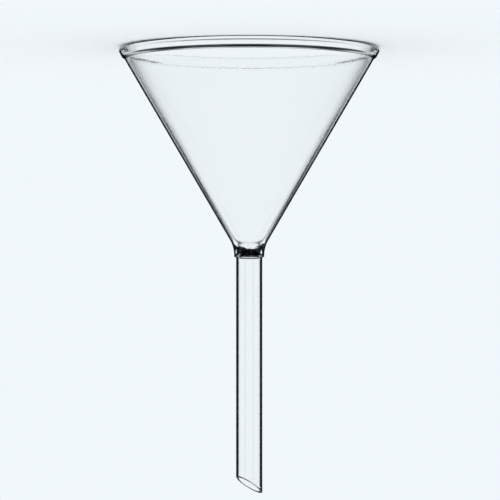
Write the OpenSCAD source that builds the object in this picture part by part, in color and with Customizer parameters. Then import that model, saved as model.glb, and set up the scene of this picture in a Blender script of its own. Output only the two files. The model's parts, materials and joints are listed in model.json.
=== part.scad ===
// Conical filter funnel of clear glass, worked in one piece.
// It stands mouth down on its rim: the rim's plane is z = 0 and the stem points up the Z axis.
// All its round faces come from one profile, drawn as radius and height and turned about the axis.
// The slant of the tip is ground afterwards.

/* [Cone] */
// Outside diameter of the mouth, over the rim bead
mouth_d = 100; // [60:1:200]
// Angle between opposite sides of the cone
cone_angle = 60.5; // [45:0.5:75]
// Thickness of the cone's wall, square to its face
cone_wall = 1.5; // [1:0.1:2.5]

/* [Rim bead] */
// How far the bead stands proud of the wall outside
bead_out = 0.5; // [0.2:0.05:1]
// How far the bead stands proud of the wall inside
bead_in = 1.2; // [0.2:0.05:1.5]
// Height of the bead, from the rim's plane to its far edge
bead_h = 4.6; // [4:0.1:10]

/* [Neck] */
// Radius of the hollow curve from the cone into the neck
neck_blend_r = 12; // [4:0.5:20]
// Straight length of neck below its shoulder
neck_straight = 0.2; // [0.2:0.1:5]
// How far the neck's shoulder stands proud of the stem
shoulder_out = 0.75; // [0.2:0.05:1]
// Radius of the curve from the cone's inner face into the throat
throat_blend_r = 7; // [4:0.5:20]
// How far the lip at the throat stands into the bore
lip_in = 1; // [0.2:0.1:1.5]

/* [Stem] */
// Outside diameter of the stem
stem_d = 10; // [8:0.5:14]
// Thickness of the stem's wall
stem_wall = 1; // [0.8:0.1:2]
// Length of the stem, from the shoulder to the long side of the tip
stem_len = 90.6; // [40:0.1:200]
// Slope of the ground tip, away from square
tip_angle = 33; // [0:1:45]
// Direction of the tip's long side about the axis
tip_turn = 155; // [0:5:360]

/* [Hidden] */
$fn = 180;

// Blends sink this far into the faces they join, so that their edges cross
bite = 0.002;
// Hidden overlap of pieces that are fused
sink = 0.3;

half_angle = cone_angle / 2;
spread = tan(half_angle);
lean = tan(half_angle / 2);
// Direction square to the cone's faces, outwards
outward = [cos(half_angle), sin(half_angle)];

// The bead is a round-ended bar laid along the wall
bead_r = (cone_wall + bead_out + bead_in) / 2;
bead_ring_r = mouth_d / 2 - bead_r;
bead_run = (bead_h - 2 * bead_r) / cos(half_angle);

// Radii at which the bar's middle and the cone's two faces would meet the rim's plane
bar_foot = bead_ring_r + bead_r * spread;
outer_foot = bar_foot + (bead_r - bead_out) / cos(half_angle);
inner_foot = bar_foot - (bead_r - bead_in) / cos(half_angle);

stem_r = stem_d / 2;
bore_r = stem_r - stem_wall;
neck_r = stem_r + shoulder_out;

// Corners where the cone's faces would meet the neck's outer face and the bore
neck_corner = [neck_r, (outer_foot - neck_r) / spread];
throat_corner = [bore_r, (inner_foot - bore_r) / spread];

// The lip is a ring that thickens the bore's wall where the throat's curve ends
lip_r = (stem_wall + lip_in) / 2;
lip_ring_r = stem_r - lip_r;
lip_z = throat_corner[1] + throat_blend_r * lean;

// The shoulder is a ring between the bore and the neck's outer face
shoulder_r = (stem_wall + shoulder_out) / 2;
shoulder_z = max(neck_corner[1] + neck_blend_r * lean, lip_z) + neck_straight;
tip_z = shoulder_z + stem_len;

// Radius at height z of the face of the cone that has this foot
function radius_at(z, foot) = foot - z * spread;

// Fills the corner between a cone and a tube that carries it on, with a curve of this radius
module corner_blend(corner, blend_r) {
    centre = corner + (blend_r - bite) * [1, lean];
    reach = blend_r + sink;
    difference() {
        polygon([
            centre,
            centre - reach * [1, 0],
            centre - reach * [1, lean],
            centre - reach * outward
        ]);
        translate(centre) circle(blend_r);
    }
}

// Everything inside the outer faces of cone, neck and stem, up to the uncut end of the stem
module outer_profile() {
    polygon([
        [0, bead_r],
        [radius_at(bead_r, outer_foot), bead_r],
        neck_corner,
        [neck_r, shoulder_z],
        [stem_r, shoulder_z],
        [stem_r, tip_z + stem_r],
        [0, tip_z + stem_r]
    ]);
    corner_blend(neck_corner, neck_blend_r);
}

// The passage from the mouth through the throat and out of the stem, without the lip
module passage_profile() {
    start = bead_r - sink;
    finish = tip_z + stem_r + sink;
    polygon([
        [-sink, start],
        [radius_at(start, inner_foot), start],
        throat_corner,
        [bore_r, finish],
        [-sink, finish]
    ]);
    corner_blend(throat_corner, throat_blend_r);
}

// Round-ended bar along the wall, which thickens and rounds the rim
module bead_profile() {
    translate([bead_ring_r, bead_r]) rotate(90 + half_angle) {
        circle(bead_r);
        translate([bead_run, 0]) circle(bead_r);
        translate([0, -bead_r]) square([bead_run, 2 * bead_r]);
    }
}

// Ring of glass that narrows the throat where the stem was sealed on
module lip_profile() {
    translate([lip_ring_r, lip_z]) circle(lip_r);
}

// Ring that rounds the neck off to the stem
module shoulder_profile() {
    translate([neck_r - shoulder_r, shoulder_z]) circle(shoulder_r);
}

// Block over the slanted plane of the tip, which passes through the end of the long side
module tip_cutter() {
    block = 4 * stem_d;
    translate([0, 0, tip_z]) rotate(tip_turn) translate([stem_r, 0, 0]) rotate([0, -tip_angle, 0])
        translate([-block / 2, -block / 2, 0]) cube(block);
}

module funnel() {
    color("aliceblue", 0.5) difference() {
        rotate_extrude() {
            difference() {
                outer_profile();
                passage_profile();
            }
            bead_profile();
            lip_profile();
            shoulder_profile();
        }
        tip_cutter();
    }
}

funnel();
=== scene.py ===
# %% [markdown]
# # A glass filter funnel
# The object is one piece of clear glass: a 60 degree cone with a thick rolled rim, a short neck, and a
# straight tube that ends in a slanted tip. Glass has no colour of its own to paint, so its look comes
# mostly from three things: an exact section, a true wall thickness, and what stands around it. The lesson
# takes them in that order, and every size is in metres. On top of these, the dark outline and the dark
# band at the neck are painted shade in the glass's surface colour.

# %% Load the measured part
import json
import math
import bmesh
import bpy
from mathutils import Matrix, Vector


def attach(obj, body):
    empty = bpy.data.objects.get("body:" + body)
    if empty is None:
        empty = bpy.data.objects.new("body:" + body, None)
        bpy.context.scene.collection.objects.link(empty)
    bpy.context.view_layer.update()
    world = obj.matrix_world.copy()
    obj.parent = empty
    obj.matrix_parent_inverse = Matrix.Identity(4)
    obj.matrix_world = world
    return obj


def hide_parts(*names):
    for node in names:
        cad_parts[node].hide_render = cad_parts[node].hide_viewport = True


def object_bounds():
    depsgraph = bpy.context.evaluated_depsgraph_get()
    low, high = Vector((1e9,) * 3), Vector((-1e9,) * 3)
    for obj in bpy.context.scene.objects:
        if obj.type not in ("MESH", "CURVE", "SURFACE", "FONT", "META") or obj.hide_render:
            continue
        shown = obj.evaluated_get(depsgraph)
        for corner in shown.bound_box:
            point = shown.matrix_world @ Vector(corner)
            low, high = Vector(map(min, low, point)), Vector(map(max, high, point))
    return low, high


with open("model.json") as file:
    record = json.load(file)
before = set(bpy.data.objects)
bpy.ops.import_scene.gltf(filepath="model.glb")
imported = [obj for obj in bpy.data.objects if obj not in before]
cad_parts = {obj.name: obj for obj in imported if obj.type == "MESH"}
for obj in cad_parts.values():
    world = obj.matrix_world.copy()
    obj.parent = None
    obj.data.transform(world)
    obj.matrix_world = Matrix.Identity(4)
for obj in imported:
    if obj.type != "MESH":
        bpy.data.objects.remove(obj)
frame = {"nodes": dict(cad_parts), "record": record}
cad_low, cad_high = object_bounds()
mounts = {mount["name"]: mount["dims"] for mount in frame["record"]["mounts"]}
print("nodes:", sorted(frame["nodes"]), "height:", round(cad_high.z, 4))

# %% [markdown]
# ## The picture's viewpoint
# The funnel stands on its wide rim, because that is the only way it can stand by itself. The picture
# shows it the other way up, mouth on top, seen from about five degrees on the stem's side. Nothing
# has to be held in the air for that: the camera looks at the standing funnel from the height of the
# tip, through a long lens, and is turned half round on its own axis.

# %% Camera
EYE_DISTANCE = 1.95
PICTURE_WIDTH = 0.1908
PICTURE_MIDDLE = Vector((-0.0003, 0.0, 0.0780))

camera_data = bpy.data.cameras.new("long_lens")
camera_data.lens = camera_data.sensor_width * EYE_DISTANCE / PICTURE_WIDTH
camera = bpy.data.objects.new("camera", camera_data)
camera.location = (PICTURE_MIDDLE.x, -EYE_DISTANCE, cad_high.z)
aim = (PICTURE_MIDDLE - camera.location).to_track_quat("-Z", "Y")
camera.rotation_euler = (aim.to_matrix() @ Matrix.Rotation(math.pi, 3, "Z")).to_euler()
bpy.context.scene.collection.objects.link(camera)
bpy.context.scene.camera = camera
bpy.context.scene.view_settings.view_transform = "Standard"
print("lens:", round(camera_data.lens), "mm")

# %% [markdown]
# ## The section
# A funnel is a solid of revolution, so everything about it is in one outline of radius and height.
# It could be modelled with boxes and bevels, but then the wall would never be even, and uneven walls
# are the first thing that glass shows. Here the outline is made of straight lines and arcs that run
# into each other smoothly, as fire-polished glass does.

# %% Sizes of the section
HALF_ANGLE = math.radians(30.25)
CONE_WALL = 0.0015
BEAD_OUT = 0.0005
BEAD_IN = 0.0012
BEAD_HEIGHT = 0.0046

spread = math.tan(HALF_ANGLE)
lean = math.tan(HALF_ANGLE / 2)
mouth_r = (cad_high.x - cad_low.x) / 2
stem_r = mounts["stem"]["r_mm"] / 1000
bore_r = mounts["stem_bore"]["r_mm"] / 1000
bead_r = (CONE_WALL + BEAD_OUT + BEAD_IN) / 2
bead_run = (BEAD_HEIGHT - 2 * bead_r) / math.cos(HALF_ANGLE)
rim_centre = Vector((mouth_r - bead_r, bead_r))
wall_up = Vector((-math.sin(HALF_ANGLE), math.cos(HALF_ANGLE)))
wall_out = Vector((math.cos(HALF_ANGLE), math.sin(HALF_ANGLE)))
print("mouth radius:", round(mouth_r, 5), "stem:", stem_r, "bore:", bore_r)

# %% [markdown]
# Two small pens draw the outline. The first draws an arc about a centre, between two directions
# given in degrees, and the second a straight line with a chosen number of steps. The rim is easier to
# draw along the wall than along the axes, so the arc pen can be handed its own pair of axes.

# %% Pens for the outline
PLAIN_AXES = (Vector((1, 0)), Vector((0, 1)))
WALL_AXES = (wall_out, wall_up)


def arc(centre, radius, start, end, steps, axes=PLAIN_AXES):
    """Points of an arc about centre, from direction start to direction end, in degrees."""
    turns = [math.radians(start + (end - start) * i / steps) for i in range(steps + 1)]
    return [centre + radius * (math.cos(t) * axes[0] + math.sin(t) * axes[1]) for t in turns]


def line(start, end, steps):
    """Points strictly between start and end, which the arcs at both ends already hold."""
    return [start.lerp(end, i / steps) for i in range(1, steps)]


def on_wall(along, outward):
    """A point by the wall: so far up from the rim, and so far out from the middle of the bead."""
    return rim_centre + along * wall_up + outward * wall_out


print("wall leans", round(math.degrees(HALF_ANGLE), 2), "degrees")

# %% [markdown]
# The rolled rim is a bar with round ends, laid along the wall and thicker than it. It stands out a
# little on the outside and more on the inside. A ring of round section would be too plump for it, and
# a bevel couldn't stand proud of the wall, so it is drawn with arcs as part of the outline. Where its
# far end meets the wall, a small hollow fillet takes the corner out.

# %% Rim bead
BEAD_FILLET = 0.0003
outer_face = bead_r - BEAD_OUT
inner_face = bead_r - BEAD_IN
bead_end = on_wall(bead_run, 0)


def bead_fillet(face):
    """How far up the wall a face's fillet is centred, and in which direction it meets the bead."""
    rise = math.sqrt((bead_r + BEAD_FILLET) ** 2 - (face + BEAD_FILLET) ** 2)
    return bead_run + rise, math.degrees(math.atan2(rise, face + BEAD_FILLET))


outer_along, outer_turn = bead_fillet(outer_face)
inner_along, inner_turn = bead_fillet(inner_face)
outer_hollow = on_wall(outer_along, outer_face + BEAD_FILLET)
inner_hollow = on_wall(inner_along, -inner_face - BEAD_FILLET)
rim_outside = (
    arc(rim_centre, bead_r, 180, 360, 26, WALL_AXES)
    + line(on_wall(0, bead_r), on_wall(bead_run, bead_r), 4)
    + arc(bead_end, bead_r, 0, outer_turn, 8, WALL_AXES)
    + arc(outer_hollow, BEAD_FILLET, outer_turn + 180, 180, 6, WALL_AXES)[1:]
)
rim_inside = (
    arc(inner_hollow, BEAD_FILLET, 0, -inner_turn, 6, WALL_AXES)
    + arc(bead_end, bead_r, 180 - inner_turn, 180, 10, WALL_AXES)[1:]
    + line(on_wall(bead_run, -bead_r), on_wall(0, -bead_r), 4)
)
print("rim points:", len(rim_outside), "outside,", len(rim_inside), "inside")

# %% [markdown]
# The neck is where the stem's tube was sealed to the cone. Outside, the cone flows into a short neck,
# which ends in a small round shoulder on the stem. Inside, the wall follows that curve, and then the
# softened glass has drawn together into a round lip that narrows the throat. Smoothing a rough join
# would only come near these forms. Arcs about known centres meet them, and the wall stays true.

# %% Neck, shoulder and lip
NECK_BLEND = 0.012
NECK_STRAIGHT = 0.0002
SHOULDER_OUT = 0.00075
THROAT_BLEND = 0.007
LIP_IN = 0.001
SHOULDER_ROUND = 0.0004
LIP_FILLET = 0.00015

slope = math.cos(HALF_ANGLE)
cone_turn = 180 + math.degrees(HALF_ANGLE)
bar_foot = rim_centre.x + rim_centre.y * spread
outer_foot = bar_foot + outer_face / slope
inner_foot = bar_foot - inner_face / slope


def blend_centre(foot, tube_r, blend_r):
    """Centre of the curve that leads a face of the cone into a face of a tube."""
    return Vector((tube_r + blend_r, (foot - tube_r) / spread + blend_r * lean))


neck = blend_centre(outer_foot, stem_r + SHOULDER_OUT, NECK_BLEND)
throat = blend_centre(inner_foot, bore_r, THROAT_BLEND)
lip_r = (stem_r - bore_r + LIP_IN) / 2
lip = Vector((stem_r - lip_r, throat.y))
shoulder_z = max(neck.y, lip.y) + NECK_STRAIGHT
shoulder_fillet = SHOULDER_OUT - SHOULDER_ROUND
shoulder = Vector((stem_r + shoulder_fillet, shoulder_z))
shoulder_foot = Vector((stem_r + shoulder_fillet, shoulder_z + SHOULDER_OUT))
print("shoulder at height", round(shoulder_z, 5), "lip at", round(lip.y, 5))

# %% [markdown]
# The corners on both sides of the lip get small fillets as well. A fillet that touches a ring and the
# straight bore has its centre where two distances are known, so Pythagoras finds it. For two rings,
# the known distances are both to centres.

# %% Fillets of the neck


def heading(vector):
    """Direction of a vector, in degrees."""
    return math.degrees(math.atan2(vector.y, vector.x))


def bore_fillet(ring, ring_r, radius):
    """Centre of a fillet between a ring and the bore, on the side of the tip."""
    aside = bore_r - radius - ring.x
    return ring + Vector((aside, math.sqrt((ring_r + radius) ** 2 - aside ** 2)))


def ring_fillet(ring, ring_r, other, other_r, radius):
    """Centre of a fillet between two rings, on the side of the cone."""
    span = other - ring
    near, far = ring_r + radius, other_r + radius
    aside = (span.length_squared + near ** 2 - far ** 2) / (2 * span.length)
    return ring + aside * span.normalized() - Vector((0, math.sqrt(near ** 2 - aside ** 2)))


over = bore_fillet(lip, lip_r, LIP_FILLET)
under = ring_fillet(lip, lip_r, throat, THROAT_BLEND, LIP_FILLET)
neck_outside = (
    arc(neck, NECK_BLEND, cone_turn, 180, 14)
    + arc(shoulder, SHOULDER_ROUND, 0, 90, 8)
    + arc(shoulder_foot, shoulder_fillet, 270, 180, 6)[1:]
)
neck_inside = (
    arc(over, LIP_FILLET, 0, heading(lip - over), 5)
    + arc(lip, lip_r, heading(over - lip), heading(under - lip) + 360, 24)[1:]
    + arc(under, LIP_FILLET, heading(lip - under), heading(throat - under), 5)[1:]
    + arc(throat, THROAT_BLEND, heading(under - throat) % 360, cone_turn, 12)[1:]
)
print("neck points:", len(neck_outside), "outside,", len(neck_inside), "inside")

# %% [markdown]
# The tip is drawn square first, with its two edges rounded in the flame. It is slanted later, once the
# outline has been turned into a solid.

# %% Tip and the whole outline
TIP_ANGLE = math.radians(33)
TIP_TURN = math.radians(155)
TIP_EDGE = 0.0004

tip_middle = cad_high.z - stem_r * math.tan(TIP_ANGLE)
tip_outside = Vector((stem_r - TIP_EDGE, tip_middle - TIP_EDGE))
tip_inside = Vector((bore_r + TIP_EDGE, tip_middle - TIP_EDGE))
tip = arc(tip_outside, TIP_EDGE, 0, 90, 5) + arc(tip_inside, TIP_EDGE, 90, 180, 5)

outline = (
    rim_outside
    + line(rim_outside[-1], neck_outside[0], 48)
    + neck_outside
    + line(neck_outside[-1], tip[0], 56)
    + tip
    + line(tip[-1], neck_inside[0], 56)
    + neck_inside
    + line(neck_inside[-1], rim_inside[0], 48)
    + rim_inside
)
print("outline points:", len(outline))

# %% [markdown]
# ## Turning the outline
# A funnel is worked on a glass lathe, which turns it about its axis in the flame. Blender's spin tool
# does the same with the outline. A Screw modifier would give the same faces, but the tip still has to
# be shaped point by point, and for that a finished mesh is the better start.

# %% Spin the outline
ROUND_STEPS = 176


def spin_outline(points, name):
    """A closed mesh from an outline of radius and height, turned once about the Z axis."""
    work = bmesh.new()
    corners = [work.verts.new((p.x, 0, p.y)) for p in points]
    edges = [work.edges.new((a, b)) for a, b in zip(corners, corners[1:] + corners[:1])]
    bmesh.ops.spin(work, geom=corners + edges, axis=(0, 0, 1), cent=(0, 0, 0), angle=2 * math.pi,
                   steps=ROUND_STEPS, use_merge=True)
    bmesh.ops.recalc_face_normals(work, faces=work.faces)
    mesh = bpy.data.meshes.new(name)
    work.to_mesh(mesh)
    work.free()
    return mesh


glass_mesh = spin_outline(outline, "blown_funnel")
for face in glass_mesh.polygons:
    face.use_smooth = True
print("funnel faces:", len(glass_mesh.polygons))

# %% [markdown]
# The tip is ground off at a slant, so that the last drops run down to one point. It could be cut with a
# Boolean modifier, which leaves long thin faces at the cut. A tube stays a true tube when its points
# move only along its own axis, so the square end is slid into the slant instead, and the faces stay
# even.

# %% Slant the tip
SLANT_LENGTH = 0.024


def smooth_step(value):
    """0 below 0, 1 above 1, and an even S between."""
    share = min(1.0, max(0.0, value))
    return share * share * (3 - 2 * share)


def slant_tip(mesh):
    """Slides the end of the stem along its axis until it ends in the slanted plane."""
    for vertex in mesh.vertices:
        share = smooth_step(1 + (vertex.co.z - tip_middle) / SLANT_LENGTH)
        reach = vertex.co.x * math.cos(TIP_TURN) + vertex.co.y * math.sin(TIP_TURN)
        if vertex.co.z > shoulder_z:
            vertex.co.z += share * reach * math.tan(TIP_ANGLE)


slant_tip(glass_mesh)
funnel = bpy.data.objects.new("blown_funnel", glass_mesh)
bpy.context.scene.collection.objects.link(funnel)
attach(funnel, "root")
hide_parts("funnel")
print("tip reaches", round(max(vertex.co.z for vertex in glass_mesh.vertices), 4))

# %% [markdown]
# ## Clear glass
# Laboratory glass is nearly colourless, but light that travels a long way inside it comes out a
# little grey-green, which is why a rim looks darker than a wall. That is absorption. It belongs in the
# volume and not in the surface colour, so one plain surface with full transmission gets an absorbing
# inside.

# %% Glass body
GLASS_IOR = 1.474
GLASS_TINT = (0.86, 0.90, 0.88, 1.0)
GLASS_DENSITY = 25.0

clear_glass = bpy.data.materials.new("clear_glass")
clear_glass.use_nodes = True
glass = clear_glass.node_tree
surface = glass.nodes["Principled BSDF"]
surface.inputs["Transmission Weight"].default_value = 1.0
surface.inputs["IOR"].default_value = GLASS_IOR
surface.inputs["Roughness"].default_value = 0.0
body = glass.nodes.new("ShaderNodeVolumeAbsorption")
body.inputs["Color"].default_value = GLASS_TINT
body.inputs["Density"].default_value = GLASS_DENSITY
glass.links.new(body.outputs["Volume"], glass.nodes["Material Output"].inputs["Volume"])
glass_mesh.materials.append(clear_glass)
print("glass: refractive index", GLASS_IOR)

# %% [markdown]
# The finish is worked out with small sums over the surface. Three helpers place the nodes for them: one
# for plain numbers, one for vectors, and one for a smooth step between two values. With them, every
# point of the glass gets its height and its distance from the axis.

# %% Sums over the surface


def math_node(tree, operation, *values):
    """A math node in a tree, fed by sockets or plain numbers."""
    node = tree.nodes.new("ShaderNodeMath")
    node.operation = operation
    for socket, value in zip(node.inputs, values):
        if isinstance(value, (int, float)):
            socket.default_value = value
        else:
            tree.links.new(value, socket)
    return node.outputs["Value"]


def vector_node(tree, operation, first, second=None):
    """A vector math node in a tree, fed by sockets or plain vectors."""
    node = tree.nodes.new("ShaderNodeVectorMath")
    node.operation = operation
    for socket, value in zip(node.inputs, (first, second)):
        if isinstance(value, tuple):
            socket.default_value = value
        elif value is not None:
            tree.links.new(value, socket)
    return node


def ramp(tree, value, off, on):
    """A smooth step in a tree: 0 where value is off, 1 where it is on."""
    node = tree.nodes.new("ShaderNodeMapRange")
    node.interpolation_type = "SMOOTHSTEP"
    tree.links.new(value, node.inputs["Value"])
    node.inputs["From Min"].default_value = off
    node.inputs["From Max"].default_value = on
    return node.outputs["Result"]


place = glass.nodes.new("ShaderNodeTexCoord")
coordinates = glass.nodes.new("ShaderNodeSeparateXYZ")
glass.links.new(place.outputs["Object"], coordinates.inputs["Vector"])
glass_x = coordinates.outputs["X"]
glass_z = coordinates.outputs["Z"]
flat = vector_node(glass, "MULTIPLY", place.outputs["Object"], (1, 1, 0)).outputs["Vector"]
from_axis = vector_node(glass, "LENGTH", flat).outputs["Value"]
print("glass nodes so far:", len(glass.nodes))

# %% [markdown]
# A drawn tube and a spun cone keep faint ripples along the axis from their making. Cut into the mesh,
# they would need far more points than the shape does. A noise that is stretched along the axis feeds a
# Bump node instead, so the ripples bend light a little and leave the form alone.

# %% Draw lines
RIPPLE_SCALE = (700.0, 700.0, 12.0)
RIPPLE_STRENGTH = 0.4
RIPPLE_DEPTH = 0.00003

stretched = vector_node(glass, "MULTIPLY", place.outputs["Object"], RIPPLE_SCALE).outputs["Vector"]
ripple = glass.nodes.new("ShaderNodeTexNoise")
ripple.inputs["Scale"].default_value = 1.0
ripple.inputs["Detail"].default_value = 2.0
glass.links.new(stretched, ripple.inputs["Vector"])
bump = glass.nodes.new("ShaderNodeBump")
bump.inputs["Strength"].default_value = RIPPLE_STRENGTH
bump.inputs["Distance"].default_value = RIPPLE_DEPTH
glass.links.new(ripple.outputs["Fac"], bump.inputs["Height"])
glass.links.new(bump.outputs["Normal"], surface.inputs["Normal"])
print("ripples about", round(1000 / RIPPLE_SCALE[0], 1), "mm across")

# %% [markdown]
# Where the stem was sealed to the cone, the hot glass has folded. The folds throw the light behind them
# aside, so from outside the neck looks like a ragged black band with a few clear glints. Modelling them
# would take thousands of tiny faces, so that band is painted shade: a mask that widens the painted dark
# outline below until it covers the neck. It begins at a height that noise shifts up and down, and reaches
# further over the cone on two sides of the neck. It ends at the shoulder, and a finer noise leaves clear
# spots in it, where the glass shows its own glints.

# %% Painted shade at the seal
SEAL_START = 0.0776
SEAL_FULL = 0.0788
SEAL_SIDES = 0.0028
SEAL_RAGGED = 0.004
FOLD_SCALE = 330.0
GLINT_SCALE = 520.0
GLINT_OPEN = 0.63
GLINT_SOFT = 0.05


def noise(scale):
    """A plain noise over the glass, 0.5 on average."""
    node = glass.nodes.new("ShaderNodeTexNoise")
    node.inputs["Scale"].default_value = scale
    node.inputs["Detail"].default_value = 2.0
    glass.links.new(place.outputs["Object"], node.inputs["Vector"])
    return node.outputs["Fac"]


ragged = math_node(glass, "MULTIPLY", math_node(glass, "SUBTRACT", noise(FOLD_SCALE), 0.5), SEAL_RAGGED)
sideways = math_node(glass, "POWER", math_node(glass, "DIVIDE", glass_x, from_axis), 2.0)
shifted = math_node(glass, "ADD", glass_z, ragged)
shifted = math_node(glass, "ADD", shifted, math_node(glass, "MULTIPLY", sideways, SEAL_SIDES))
beginning = ramp(glass, shifted, SEAL_START, SEAL_FULL)
ending = math_node(glass, "LESS_THAN", glass_z, shoulder_z)
closed = ramp(glass, noise(GLINT_SCALE), GLINT_OPEN, GLINT_OPEN - GLINT_SOFT)
# This mask marks where the neck's surface colour is painted nearly black, as shade from the light that
# the folds throw aside.
painted_seal_shade = math_node(glass, "MULTIPLY", math_node(glass, "MULTIPLY", beginning, ending), closed)
print("seam from", SEAL_START, "to", round(shoulder_z, 4))

# %% [markdown]
# Glass has a dark outline. There a ray only grazes the outer face, is thrown aside, and none of the light
# behind gets through. That shade is painted into the surface colour as a thin band, so first comes its
# width, which is a length. On a circle, the squareness at which a face is met at the band's inner edge is
# about the square root of twice the width over the radius. That is the limit. Bead and stem get a
# slightly wider band than the cone, and at the seal the painted shade is so wide that it closes.

# %% Width of the outline
OUTLINE_WIDTH = 0.00065
OUTLINE_EXTRA = 0.00025
SEAL_SHADE_WIDTH = 0.008

on_bead = math_node(glass, "LESS_THAN", glass_z, BEAD_HEIGHT)
on_stem = math_node(glass, "GREATER_THAN", glass_z, shoulder_z)
extra = math_node(glass, "MULTIPLY", math_node(glass, "MAXIMUM", on_bead, on_stem), OUTLINE_EXTRA)
thin_line = math_node(glass, "ADD", extra, OUTLINE_WIDTH)
band_width = math_node(glass, "ADD", math_node(glass, "MULTIPLY", painted_seal_shade, SEAL_SHADE_WIDTH), thin_line)
doubled = math_node(glass, "MULTIPLY", band_width, 2.0)
limit = math_node(glass, "SQRT", math_node(glass, "DIVIDE", doubled, from_axis))
print("outline:", OUTLINE_WIDTH, "wide on the cone,", OUTLINE_WIDTH + OUTLINE_EXTRA, "on the stem")

# %% [markdown]
# Layer Weight knows how squarely a face is met. From above, though, even the middle of a tube is met at
# a slant, and the whole stem would turn dark. A second Layer Weight, which is given the axis as its
# normal, measures how steep the ray is, and the squareness is divided by what the steepness takes.

# %% Squareness
LEAST_FLAT = 0.01


def squareness_to(normal=None):
    """How squarely a ray meets the face, or meets a plane with the normal that is given."""
    node = glass.nodes.new("ShaderNodeLayerWeight")
    node.inputs["Blend"].default_value = 0.5
    if normal is not None:
        glass.links.new(normal, node.inputs["Normal"])
    return math_node(glass, "SUBTRACT", 1.0, node.outputs["Facing"])


axis = glass.nodes.new("ShaderNodeCombineXYZ")
axis.inputs["Z"].default_value = 1.0
steepness = math_node(glass, "POWER", squareness_to(axis.outputs["Vector"]), 2.0)
flatness = math_node(glass, "SQRT", math_node(glass, "SUBTRACT", 1.0, steepness))
flatness = math_node(glass, "MAXIMUM", flatness, LEAST_FLAT)
squareness = math_node(glass, "DIVIDE", squareness_to(), flatness)
print("glass nodes so far:", len(glass.nodes))

# %% [markdown]
# Where the squareness is under the limit, the surface colour goes from clear to nearly black, which is
# painted shade. Only the outer faces are painted dark.

# %% Painted dark outline
CLEAR = (1.0, 1.0, 1.0, 1.0)
OUTLINE_SHADE_COLOUR = (0.0004, 0.0006, 0.0008, 1.0)
BAND_FADE = (1.15, 0.85)

# Painted shade: this band turns the glass's surface colour nearly black where rays graze it.
band = ramp(glass, math_node(glass, "DIVIDE", squareness, limit), *BAND_FADE)
outward = vector_node(glass, "DOT_PRODUCT", flat, place.outputs["Normal"]).outputs["Value"]
outer_side = math_node(glass, "GREATER_THAN", outward, 0.0)
painted_outline = glass.nodes.new("ShaderNodeMix")
painted_outline.data_type = "RGBA"
painted_outline.inputs[6].default_value = CLEAR
painted_outline.inputs[7].default_value = OUTLINE_SHADE_COLOUR
glass.links.new(math_node(glass, "MULTIPLY", band, outer_side), painted_outline.inputs["Factor"])
glass.links.new(painted_outline.outputs[2], surface.inputs["Base Color"])
print("glass nodes:", len(glass.nodes))

# %% [markdown]
# ## The floor
# The floor is a plain pale disc under the rim, and it takes the funnel's shadow. A plane with an edge
# would show as a line across the picture, so the disc is round and fades out before it ends.

# %% Floor
FLOOR_RADIUS = 0.20

floor_work = bmesh.new()
bmesh.ops.create_circle(floor_work, cap_ends=True, segments=96, radius=FLOOR_RADIUS)
floor_mesh = bpy.data.meshes.new("floor")
floor_work.to_mesh(floor_mesh)
floor_work.free()
floor = bpy.data.objects.new("floor", floor_mesh)
bpy.context.scene.collection.objects.link(floor)
print("floor radius:", FLOOR_RADIUS)

# %% [markdown]
# The fade is in the paint's Alpha. It also takes the floor away from rays that have come through the
# glass, so that these see the lit studio behind and not a floor that the glass itself shades.

# %% Floor paint
PALE = (0.88, 0.935, 0.965, 1.0)
FLOOR_FADE = 0.10

floor_paint = bpy.data.materials.new("floor_paint")
floor_paint.use_nodes = True
floor_tree = floor_paint.node_tree
paint = floor_tree.nodes["Principled BSDF"]
paint.inputs["Base Color"].default_value = PALE
paint.inputs["Roughness"].default_value = 1.0
paint.inputs["Specular IOR Level"].default_value = 0.0
floor_place = floor_tree.nodes.new("ShaderNodeTexCoord")
from_middle = vector_node(floor_tree, "LENGTH", floor_place.outputs["Object"]).outputs["Value"]
fade_out = ramp(floor_tree, from_middle, FLOOR_RADIUS, FLOOR_FADE)
floor_path = floor_tree.nodes.new("ShaderNodeLightPath")
plain_ray = math_node(floor_tree, "SUBTRACT", 1.0, floor_path.outputs["Is Transmission Ray"])
floor_tree.links.new(math_node(floor_tree, "MULTIPLY", fade_out, plain_ray), paint.inputs["Alpha"])
floor_mesh.materials.append(floor_paint)
print("floor paint:", PALE[:3])

# %% [markdown]
# ## A lit strip behind the rim
# The far side of the rim is seen through the near wall, and would draw strong lines across the cone. A
# strip of lit paper that stands close round the rim fills every direction in which the far rim bends
# light, so those lines grow faint. It can't be seen by itself.

# %% Lit strip
STRIP_RADIUS = 0.0516
STRIP_LOW = -0.095
STRIP_HIGH = 0.016

strip_work = bmesh.new()
ring = bmesh.ops.create_circle(strip_work, segments=96, radius=STRIP_RADIUS)["verts"]
bmesh.ops.translate(strip_work, verts=ring, vec=(0, 0, STRIP_LOW))
raised = bmesh.ops.extrude_edge_only(strip_work, edges=strip_work.edges[:])["geom"]
upper_ring = [item for item in raised if isinstance(item, bmesh.types.BMVert)]
bmesh.ops.translate(strip_work, verts=upper_ring, vec=(0, 0, STRIP_HIGH - STRIP_LOW))
strip_mesh = bpy.data.meshes.new("lit_strip")
strip_work.to_mesh(strip_mesh)
strip_work.free()
strip = bpy.data.objects.new("lit_strip", strip_mesh)
bpy.context.scene.collection.objects.link(strip)
strip.visible_camera = False
strip.visible_diffuse = False
strip.visible_glossy = False
strip.visible_shadow = False
print("lit strip:", len(strip_mesh.polygons), "faces")

# %% [markdown]
# The near rim must keep its dark lines, so the paper has to know which rim a ray comes from. Light Path
# counts the faces of glass that a ray has crossed. Past the near rim that is two, and past the near
# wall and the far rim it is four. The paper is clear until the count is above three.

# %% Lit paper
PAST_FAR_RIM = 3.5

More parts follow.
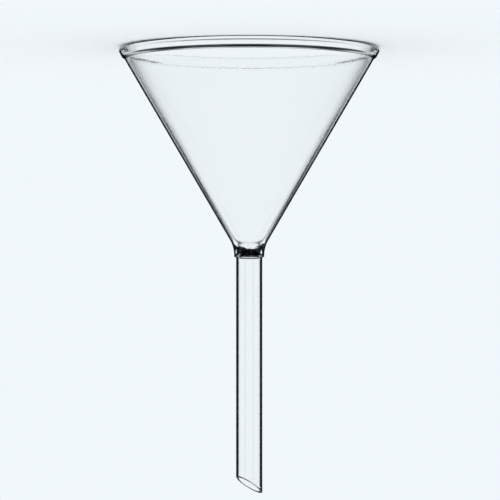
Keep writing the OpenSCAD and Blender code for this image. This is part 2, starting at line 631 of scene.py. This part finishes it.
lit_paper = bpy.data.materials.new("lit_paper")
lit_paper.use_nodes = True
paper_tree = lit_paper.node_tree
glow = paper_tree.nodes["Principled BSDF"]
glow.inputs["Base Color"].default_value = (0.0, 0.0, 0.0, 1.0)
glow.inputs["Specular IOR Level"].default_value = 0.0
glow.inputs["Emission Color"].default_value = PALE
glow.inputs["Emission Strength"].default_value = 1.0
crossings = paper_tree.nodes.new("ShaderNodeLightPath").outputs["Transmission Depth"]
paper_tree.links.new(math_node(paper_tree, "GREATER_THAN", crossings, PAST_FAR_RIM), glow.inputs["Alpha"])
strip_mesh.materials.append(lit_paper)
print("paper nodes:", len(paper_tree.nodes))

# %% [markdown]
# ## Light for glass
# Glass is photographed on a bright field with black cards beside it. Rays near the edge of the glass
# are bent out to the cards, and that draws the dark lines inside the outline. Lamps would only add
# spots to it, so the whole studio is in the world. First, two angles are needed for each direction: how
# far it points up, and how far it is turned from the nearest of the four sides.

# %% Directions in the studio
world = bpy.data.worlds.new("studio")
bpy.context.scene.world = world
world.use_nodes = True
air = world.node_tree
air.nodes.clear()

direction = air.nodes.new("ShaderNodeSeparateXYZ")
air.links.new(air.nodes.new("ShaderNodeTexCoord").outputs["Generated"], direction.inputs["Vector"])
across = math_node(air, "ABSOLUTE", direction.outputs["X"])
ahead = math_node(air, "ABSOLUTE", direction.outputs["Y"])
nearer = math_node(air, "MINIMUM", across, ahead)
off_axis = math_node(air, "ARCTAN2", nearer, math_node(air, "MAXIMUM", across, ahead))
off_corner = math_node(air, "SUBTRACT", math.radians(45), off_axis)
height = math_node(air, "ARCSINE", direction.outputs["Z"])
print("direction nodes:", len(air.nodes))

# %% [markdown]
# The fields stand on all four sides, level with the eye, with four lower ones between them for a view
# from above. Each pair of angles gives, in degrees, where a field is dark and where it is fully lit.

# %% Lit fields
FIELD_ASIDE = (44, 30)
FIELD_TOP = (11, 3)
FIELD_FOOT = (-16, -8)
CORNER_ASIDE = (30, 14)
CORNER_TOP = (-2, -10)
CORNER_FOOT = (-44, -30)


def soft_edge(angle, degrees):
    """A smooth step over an angle, from dark at the first of two values to lit at the second."""
    off, on = degrees
    return ramp(air, angle, math.radians(off), math.radians(on))


def field(aside, width, top, foot):
    """1 inside a lit field of the studio, fading to 0 at its four sides."""
    upright = math_node(air, "MULTIPLY", soft_edge(height, top), soft_edge(height, foot))
    return math_node(air, "MULTIPLY", soft_edge(aside, width), upright)


level_fields = field(off_axis, FIELD_ASIDE, FIELD_TOP, FIELD_FOOT)
low_fields = field(off_corner, CORNER_ASIDE, CORNER_TOP, CORNER_FOOT)
fields = math_node(air, "MAXIMUM", level_fields, low_fields)
print("lit fields: four level, four low")

# %% [markdown]
# A ray that only bounces off the outside sees no field, because a field mirrored at a grazing angle
# would put a bright edge where the outline has to be dark. The soft sky above the fields and the light
# table below them are there for every ray that leaves the glass, and lighten its walls. A ray that has
# not been inside the glass gets about a third of them. Black cloth round a camera does the same on a
# real set, and keeps the dark lines of the rim clear of haze.

# %% Studio
CARD = (0.003, 0.004, 0.005, 1.0)
SKY = (10, 24)
LIGHT_TABLE = (-42, -50)
PAST_NEAR_WALL = 1.5
MIRRORED = 0.35

path = air.nodes.new("ShaderNodeLightPath")
past_wall = math_node(air, "GREATER_THAN", path.outputs["Transmission Depth"], PAST_NEAR_WALL)
sees_fields = math_node(air, "MAXIMUM", path.outputs["Is Transmission Ray"], past_wall)
seen_fields = math_node(air, "MULTIPLY", fields, sees_fields)
sky_and_table = math_node(air, "MAXIMUM", soft_edge(height, SKY), soft_edge(height, LIGHT_TABLE))
went_in = math_node(air, "GREATER_THAN", path.outputs["Transmission Depth"], 0.5)
dimmed = math_node(air, "MULTIPLY", sky_and_table, math_node(air, "MAXIMUM", went_in, MIRRORED))
studio = air.nodes.new("ShaderNodeMix")
studio.data_type = "RGBA"
studio.inputs[6].default_value = CARD
studio.inputs[7].default_value = PALE
air.links.new(math_node(air, "MAXIMUM", seen_fields, dimmed), studio.inputs["Factor"])
print("sky from", SKY[0], "degrees up, light table from", -LIGHT_TABLE[0], "degrees down")

# %% [markdown]
# Which of three backgrounds a ray meets depends on its path. The camera sees an even pale backdrop.
# Rays from the glass see the studio with its cards. Rays from the floor get an even fill, so the floor
# is lit at a plain level and shows its own colour.

# %% Backdrop, studio and fill
FILL = (1.0, 1.0, 1.0, 1.0)


def background(colour):
    """A background of strength 1, in a plain colour or fed by a socket."""
    node = air.nodes.new("ShaderNodeBackground")
    if isinstance(colour, tuple):
        node.inputs["Color"].default_value = colour
    else:
        air.links.new(colour, node.inputs["Color"])
    return node.outputs["Background"]


def choose(factor, otherwise, chosen):
    """One shader where factor is 1, and the other where it is 0."""
    node = air.nodes.new("ShaderNodeMixShader")
    for socket, source in zip(node.inputs, (factor, otherwise, chosen)):
        air.links.new(source, socket)
    return node.outputs["Shader"]


by_glass = math_node(air, "MAXIMUM", path.outputs["Is Glossy Ray"], path.outputs["Is Transmission Ray"])
not_by_floor = math_node(air, "LESS_THAN", path.outputs["Diffuse Depth"], 0.5)
from_glass = math_node(air, "MULTIPLY", by_glass, not_by_floor)
unseen = choose(from_glass, background(FILL), background(studio.outputs[2]))
seen = choose(path.outputs["Is Camera Ray"], unseen, background(PALE))
output = air.nodes.new("ShaderNodeOutputWorld")
air.links.new(seen, output.inputs["Surface"])
print("world nodes:", len(air.nodes))
